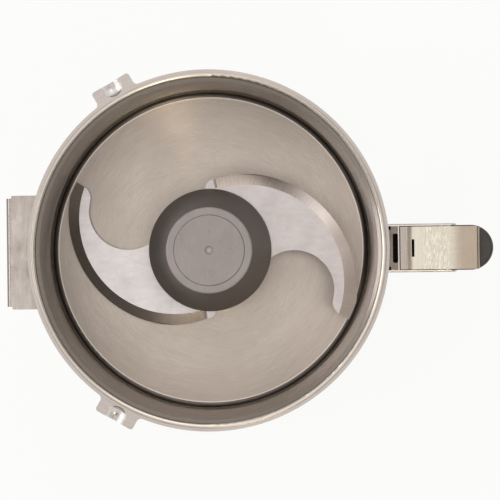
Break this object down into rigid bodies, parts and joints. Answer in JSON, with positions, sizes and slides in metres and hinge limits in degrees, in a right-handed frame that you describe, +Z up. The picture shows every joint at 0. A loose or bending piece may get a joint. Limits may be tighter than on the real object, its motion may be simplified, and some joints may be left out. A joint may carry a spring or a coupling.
{
  "type": "cutter bowl",
  "caption": "Stainless table-top cutter bowl with a latch-lever handle, lid lugs, a helper handle and a lift-out rotor with sickle blades on a tall hub.",
  "frame": {"origin": "centre of the face that the base ring stands on", "axes": "+Z up along the bowl's axis, +X from the axis towards the handle, +Y across"},
  "size_m": [0.3249, 0.2408, 0.161],
  "materials": {
    "bowl_steel": "brushed stainless",
    "plate_steel": "brushed stainless plate",
    "blade_steel": "ground stainless",
    "shaft_steel": "turned steel",
    "hub_plastic": "satin dark grey",
    "grip_plastic": "satin black",
    "seal_rubber": "matt",
    "bush_brass": "turned"
  },
  "bodies": {
    "bowl": {"bowl_shell": "bowl_steel", "rim_ring": "bowl_steel", "base_ring": "bowl_steel", "chimney_tube": "bowl_steel", "helper_handle": "plate_steel", "handle_bracket": "plate_steel", "handle_strap": "plate_steel", "grip_inner": "grip_plastic", "grip_outer": "grip_plastic", "grip_screws": "shaft_steel", "lever_pin": "shaft_steel", "lever_spring": "shaft_steel", "lower_bearing": "shaft_steel", "upper_bearing": "shaft_steel", "bearing_spacer": "shaft_steel", "bearing_circlip": "shaft_steel", "lip_seal": "seal_rubber"},
    "spindle": {"spindle": "shaft_steel", "drive_dog": "shaft_steel", "dog_pin": "shaft_steel"},
    "rotor": {"rotor_hub": "hub_plastic", "hub_cap": "hub_plastic", "hub_seal": "seal_rubber", "drive_bush": "bush_brass", "blade_carrier": "shaft_steel", "upper_blade": "blade_steel", "blade_spacer": "hub_plastic", "lower_blade": "blade_steel", "blade_clamp_ring": "shaft_steel", "blade_screws": "shaft_steel"},
    "latch": {"latch_lever": "plate_steel"}
  },
  "joints": [
    {"name": "spindle_spin", "type": "hinge", "parent": "bowl", "child": "spindle", "pos_m": [0, 0, 0.05], "axis": [0, 0, 1], "continuous": true},
    {"name": "rotor_lift", "type": "slide", "parent": "spindle", "child": "rotor", "axis": [0, 0, 1], "range_m": [0, 0.15]},
    {"name": "latch_press", "type": "hinge", "parent": "bowl", "child": "latch", "pos_m": [0.156, 0, 0.145], "axis": [0, 1, 0], "range_deg": [0, 8], "stiffness_Nm_per_rad": 1, "springref_deg": -20.05, "deforming": ["lever_spring"]}
  ]
}
